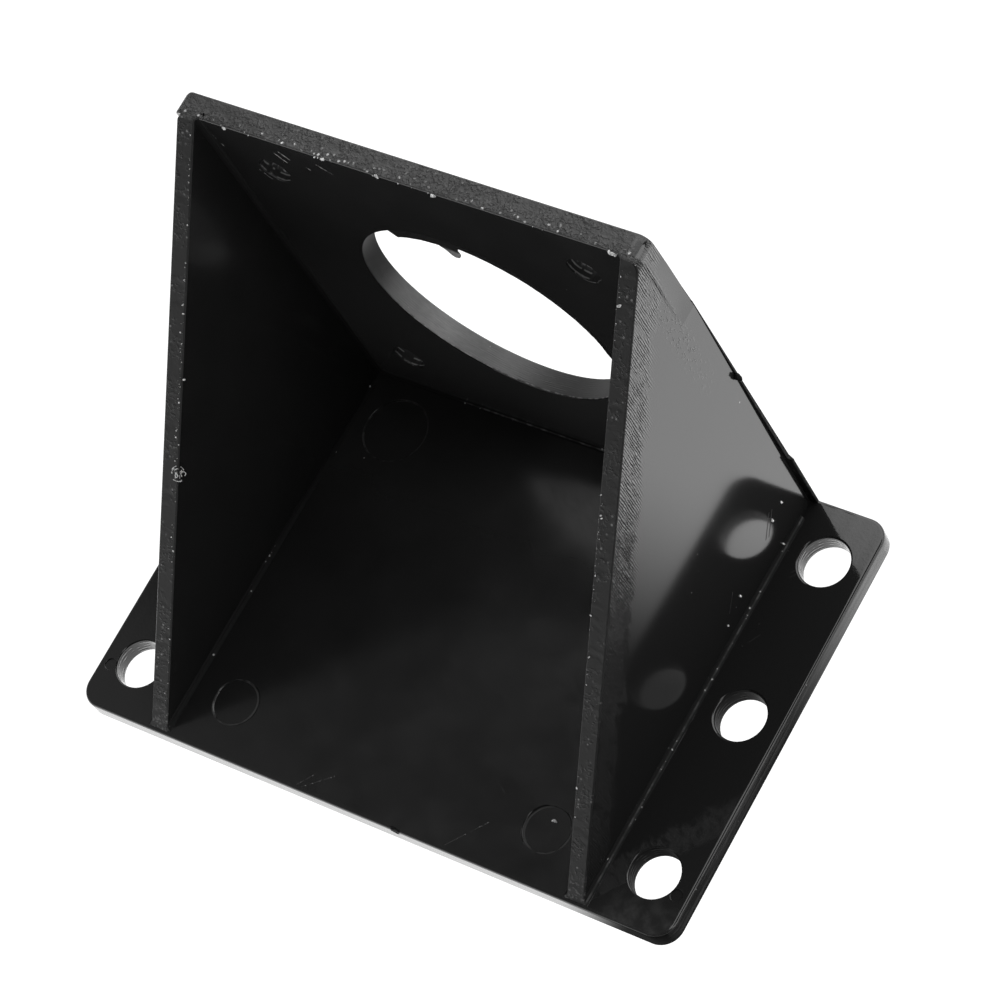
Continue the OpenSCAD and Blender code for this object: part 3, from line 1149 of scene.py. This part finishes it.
# %% The fibres
bow_sweep = 2.2
fibre_tree, fibre_inputs, given = new_tree("curl_fibres", [
    ("Count", "NodeSocketInt", 12), ("Spread", "NodeSocketFloat", 0.3 * MM),
    ("Bow", "NodeSocketFloat", 0.6 * MM), ("Thickness", "NodeSocketFloat", 0.06 * MM),
    ("Seed", "NodeSocketInt", 2)])
seed = given["Seed"]
random_place = random_value(fibre_tree, "FLOAT_VECTOR", (-1, -1, -0.6), (1, 1, 1), seed)
spread_place = add_node(fibre_tree, "ShaderNodeVectorMath", {"operation": "SCALE"},
                        {"Vector": random_place, "Scale": given["Spread"]})["Vector"]
places = add_node(fibre_tree, "GeometryNodePoints", {},
                  {"Count": given["Count"], "Position": spread_place})["Points"]
bow = add_node(fibre_tree, "GeometryNodeCurveArc", {"mode": "RADIUS"},
               {"Resolution": 9, "Radius": given["Bow"], "Sweep Angle": bow_sweep})["Curve"]
random_turn = random_value(fibre_tree, "FLOAT_VECTOR", no_turn, full_turn, seed)
random_size = random_value(fibre_tree, "FLOAT", 0.3, 1.2, seed)
bows = add_node(fibre_tree, "GeometryNodeInstanceOnPoints", {},
                {"Points": places, "Instance": bow, "Rotation": random_turn,
                 "Scale": random_size})["Instances"]
paths = add_node(fibre_tree, "GeometryNodeRealizeInstances", {}, {"Geometry": bows})["Geometry"]
section = add_node(fibre_tree, "GeometryNodeCurvePrimitiveCircle", {"mode": "RADIUS"},
                   {"Resolution": 5, "Radius": given["Thickness"] * 0.5})["Curve"]
tubes = add_node(fibre_tree, "GeometryNodeCurveToMesh", {},
                 {"Curve": paths, "Profile Curve": section, "Fill Caps": True})["Mesh"]
end_tree(fibre_tree, tubes, pale_crumb)
fibre_mesh = grow("fibre_tuft", bpy.data.meshes.new("fibre_start"), fibre_tree, {
    fibre_inputs["Count"]: 13, fibre_inputs["Bow"]: 0.6 * MM, fibre_inputs["Seed"]: 5})
tuft_place = Vector((-21.3, -3.6, 20.45)) * MM
for vert in fibre_mesh.vertices:
    vert.co += tuft_place
add_piece("fibre_tuft", fibre_mesh, pale_crumb)

# %% [markdown]
# ## Burrs on two edges
#
# A dark burr sits half way down the rear edge of the right wall, and a small one bridges the front
# edge of the base. Each is a lump: a ball pushed in and out by noise, and flattened.

# %% The burrs
burr_depth = 0.35
burr_grain = 1.7


def burr_mesh(name, place, size, shift):
    work = bmesh.new()
    bmesh.ops.create_icosphere(work, subdivisions=3, radius=1.0)
    for vert in work.verts:
        swell = 1 + burr_depth * noise.noise(vert.co * burr_grain + Vector((shift, 0, 0)))
        vert.co = Vector(a * b * swell for a, b in zip(vert.co, size))
        vert.co = (vert.co + Vector(place)) * MM
        vert.co.y = max(min(vert.co.y, high[1]), low[1])
    bmesh.ops.recalc_face_normals(work, faces=work.faces)
    for face in work.faces:
        face.smooth = True
    mesh = bpy.data.meshes.new(name)
    work.to_mesh(mesh)
    work.free()
    return mesh


for name, place, size, shift in (
        ("rear_edge_burr", (23.55, 20.2, 23.0), (0.35, 0.25, 0.5), 2.0),
        ("front_edge_burr", (3.7, -20.3, 1.55), (0.7, 0.2, 0.5), 5.0)):
    add_piece(name, burr_mesh(name, place, size, shift), painted_shade_lip_and_burrs)
